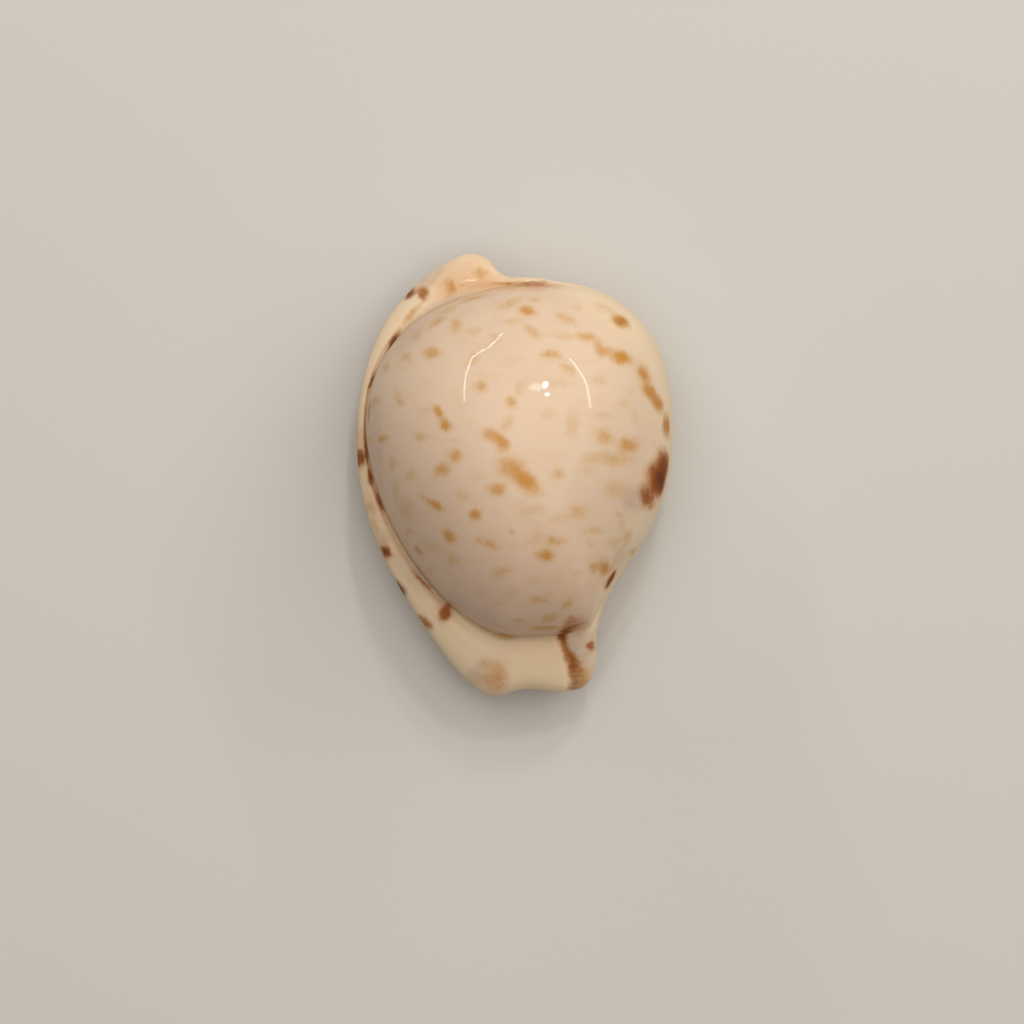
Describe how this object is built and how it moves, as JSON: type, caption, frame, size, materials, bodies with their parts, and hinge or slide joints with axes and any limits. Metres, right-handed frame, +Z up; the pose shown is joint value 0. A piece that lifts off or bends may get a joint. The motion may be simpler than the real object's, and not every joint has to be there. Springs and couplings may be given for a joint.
{
  "type": "cowrie shell",
  "caption": "Glossy cream cowrie shell: domed back with tan freckles, flanged margin with brown marks, pointed ends, and a narrow toothed slit underneath.",
  "frame": {"origin": "on the surface that the shell rests on, under the middle of its outline's box", "axes": "+Y along the shell toward the spire end, +Z up through the domed back, +X toward the inner lip's side"},
  "size_m": [0.04, 0.056, 0.031],
  "materials": {
    "shell": "gloss"
  },
  "bodies": {
    "root": {"shell": "shell"}
  },
  "joints": []
}
